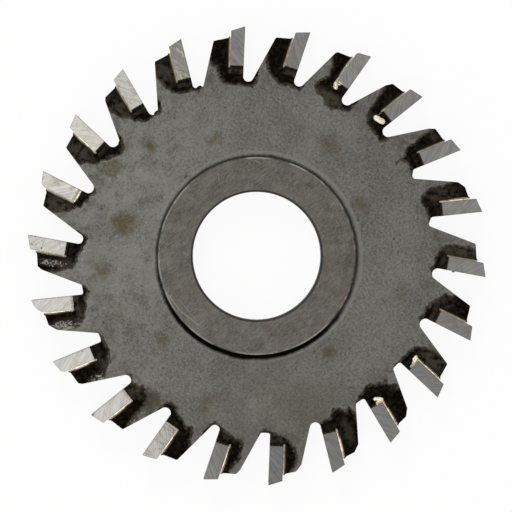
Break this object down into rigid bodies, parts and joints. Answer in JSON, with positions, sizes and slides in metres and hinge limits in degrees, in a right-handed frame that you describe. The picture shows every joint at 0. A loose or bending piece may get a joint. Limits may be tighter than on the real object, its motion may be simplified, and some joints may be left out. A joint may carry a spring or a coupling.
{
  "type": "key cutter",
  "caption": "Used disc milling cutter for key machines: steel disc with a raised ground hub, plain arbor bore and slanted teeth, each with a brazed-in carbide tip.",
  "frame": {"origin": "centre of the bore, halfway through the hub's width", "axes": "+Z along the bore axis, out of the face the picture shows; +Y towards the picture's top, +X towards its right"},
  "size_m": [0.0782, 0.0784, 0.0062],
  "materials": {
    "body_steel": "blasted tool steel, ground on the hub faces, with flux and oil stains",
    "carbide": "ground cemented carbide",
    "braze": "as brazed, darkened by flux"
  },
  "bodies": {
    "root": {"cutter_body": "body_steel", "carbide_tip_01": "carbide", "carbide_tip_02": "carbide", "carbide_tip_03": "carbide", "carbide_tip_04": "carbide", "carbide_tip_05": "carbide", "carbide_tip_06": "carbide", "carbide_tip_07": "carbide", "carbide_tip_08": "carbide", "carbide_tip_09": "carbide", "carbide_tip_10": "carbide", "carbide_tip_11": "carbide", "carbide_tip_12": "carbide", "carbide_tip_13": "carbide", "carbide_tip_14": "carbide", "carbide_tip_15": "carbide", "carbide_tip_16": "carbide", "carbide_tip_17": "carbide", "carbide_tip_18": "carbide", "carbide_tip_19": "carbide", "carbide_tip_20": "carbide", "carbide_tip_21": "carbide", "carbide_tip_22": "carbide", "braze_seam_01": "braze", "braze_seam_02": "braze", "braze_seam_03": "braze", "braze_seam_04": "braze", "braze_seam_05": "braze", "braze_seam_06": "braze", "braze_seam_07": "braze", "braze_seam_08": "braze", "braze_seam_09": "braze", "braze_seam_10": "braze", "braze_seam_11": "braze", "braze_seam_12": "braze", "braze_seam_13": "braze", "braze_seam_14": "braze", "braze_seam_15": "braze", "braze_seam_16": "braze", "braze_seam_17": "braze", "braze_seam_18": "braze", "braze_seam_19": "braze", "braze_seam_20": "braze", "braze_seam_21": "braze", "braze_seam_22": "braze"}
  },
  "joints": []
}
